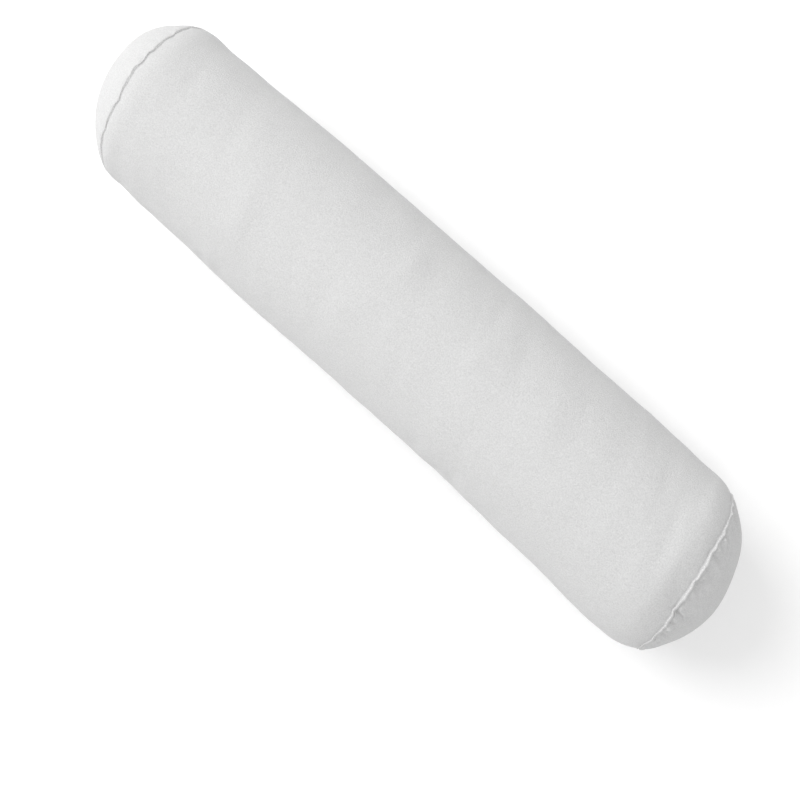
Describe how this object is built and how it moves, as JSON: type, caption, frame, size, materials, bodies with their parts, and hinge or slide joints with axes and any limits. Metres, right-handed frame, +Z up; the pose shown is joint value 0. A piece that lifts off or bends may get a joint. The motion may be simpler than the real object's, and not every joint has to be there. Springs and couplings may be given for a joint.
{
  "type": "bolster pillow",
  "caption": "Round white fabric bolster with domed ends, lipped ring seams and a zipped washable cover over a wadding-wrapped foam cushion.",
  "frame": {"origin": "on the resting face, under the centre of the pillow", "axes": "+X along the pillow towards the closed end of the zip, +Y towards the side with the zip, +Z up"},
  "size_m": [0.6604, 0.1524, 0.1497],
  "materials": {
    "cover_fabric": "matte white plain-weave cotton",
    "thread": "white polyester sewing thread",
    "zip_tape": "white woven polyester tape",
    "zip_coil": "white nylon coil",
    "zip_metal": "white enamelled zinc, satin",
    "liner_fabric": "thin undyed cotton",
    "wadding": "lofty polyester fibre",
    "foam": "open-cell polyurethane foam"
  },
  "bodies": {
    "pillow": {"cover_body": "cover_fabric", "cover_end_left": "cover_fabric", "cover_end_right": "cover_fabric", "end_seam_thread_left": "thread", "end_seam_thread_right": "thread", "side_seam_thread_left": "thread", "side_seam_thread_right": "thread", "zip_tape_upper": "zip_tape", "zip_tape_lower": "zip_tape", "zip_coil_upper": "zip_coil", "zip_coil_lower": "zip_coil", "zip_bottom_stop": "zip_metal", "zip_top_stops": "zip_metal", "zip_stitching_upper": "thread", "zip_stitching_lower": "thread", "zip_bar_tacks": "thread", "liner_body": "liner_fabric", "liner_end_left": "liner_fabric", "liner_end_right": "liner_fabric", "liner_seam_thread_left": "thread", "liner_seam_thread_right": "thread", "liner_side_thread": "thread", "wadding_wrap": "wadding", "wadding_end_left": "wadding", "wadding_end_right": "wadding", "foam_core": "foam"},
    "zip_slider": {"zip_slider": "zip_metal"},
    "zip_pull": {"zip_pull": "zip_metal"}
  },
  "joints": [
    {"name": "zip_slide", "type": "slide", "parent": "pillow", "child": "zip_slider", "axis": [-1, 0, 0], "range_m": [0, 0.473], "deforming": ["zip_coil_upper", "zip_coil_lower"]},
    {"name": "zip_pull_swing", "type": "hinge", "parent": "zip_slider", "child": "zip_pull", "pos_m": [0.2365, 0.07223, 0.03982], "axis": [0, -0.4226, -0.9063], "range_deg": [0, 174]}
  ]
}
